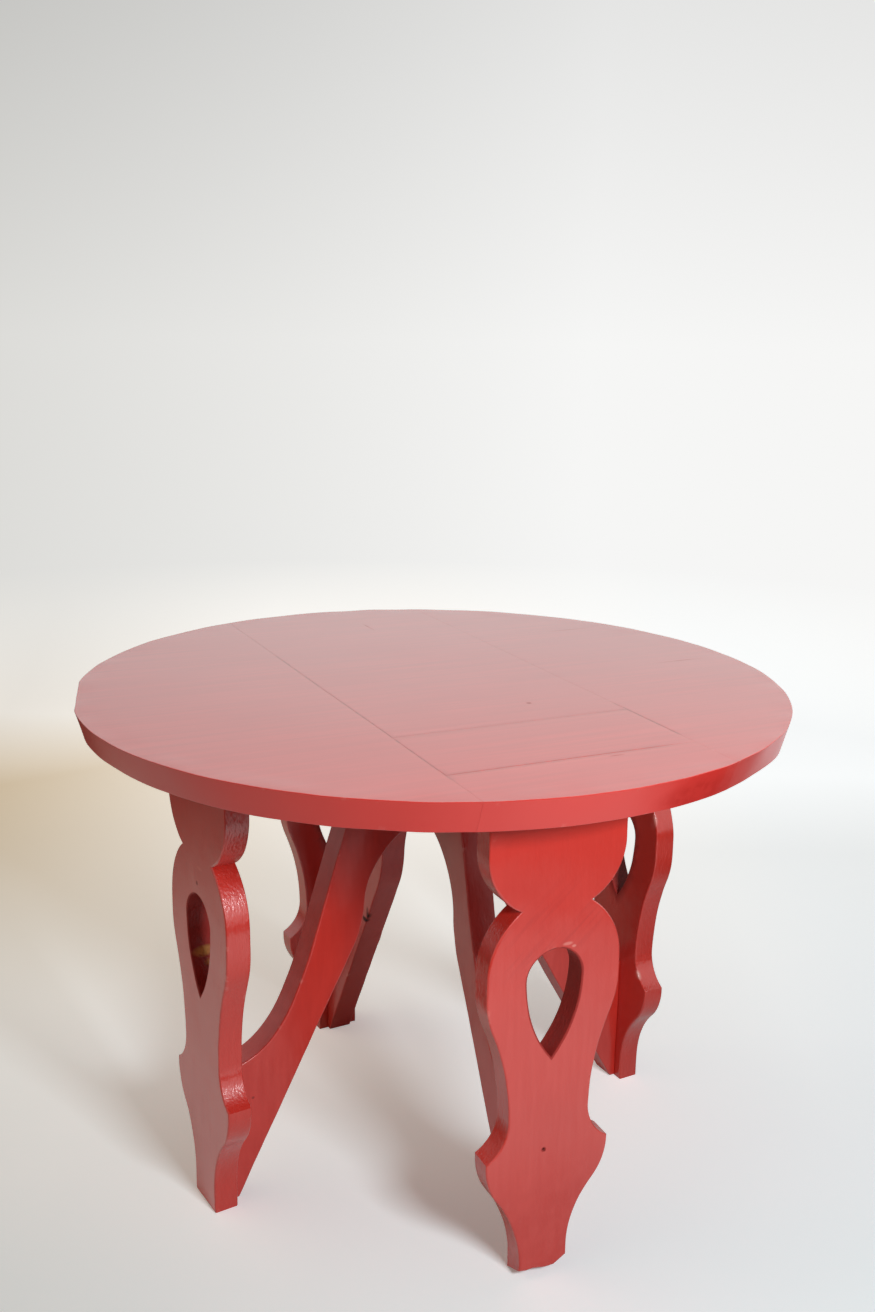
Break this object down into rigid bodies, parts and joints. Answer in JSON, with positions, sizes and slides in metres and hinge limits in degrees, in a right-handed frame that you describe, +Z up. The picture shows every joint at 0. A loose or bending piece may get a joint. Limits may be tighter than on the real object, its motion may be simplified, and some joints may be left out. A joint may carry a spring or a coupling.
{
  "type": "round table",
  "caption": "Round wooden table in red paint: a boarded top with an undercut rim on sawn-board legs with teardrop piercings, each stayed by a curved brace.",
  "frame": {"origin": "on the floor, under the middle of the round top", "axes": "+Z up; -Y towards the front leg, along the long seams of the top; +X towards the right leg"},
  "size_m": [1.0499, 1.05, 0.75],
  "materials": {
    "red_paint_top": "semi-gloss red paint brushed over wood",
    "red_paint_legs": "semi-gloss red paint brushed over wood, scuffed at the edges",
    "red_paint_braces": "semi-gloss red paint brushed over wood",
    "red_paint_underside": "thin red paint over wood",
    "bare_wood": "unfinished",
    "steel": "plain"
  },
  "bodies": {
    "root": {"top_left_board": "red_paint_top", "top_right_board": "red_paint_top", "top_centre_board": "red_paint_top", "top_front_strip": "red_paint_top", "top_front_board": "red_paint_top", "front_leg_board": "red_paint_legs", "left_leg_board": "red_paint_legs", "right_leg_board": "red_paint_legs", "back_leg_board": "red_paint_legs", "front_brace": "red_paint_braces", "left_brace": "red_paint_braces", "right_brace": "red_paint_braces", "back_brace": "red_paint_braces", "front_cleat": "red_paint_underside", "left_cleat": "red_paint_underside", "right_cleat": "red_paint_underside", "back_cleat": "red_paint_underside", "front_batten": "red_paint_underside", "back_batten": "red_paint_underside", "hub_post": "red_paint_underside", "top_dowels": "bare_wood", "batten_screws": "steel", "cleat_top_screws": "steel", "cleat_leg_screws": "steel", "leg_face_screws": "steel"}
  },
  "joints": []
}
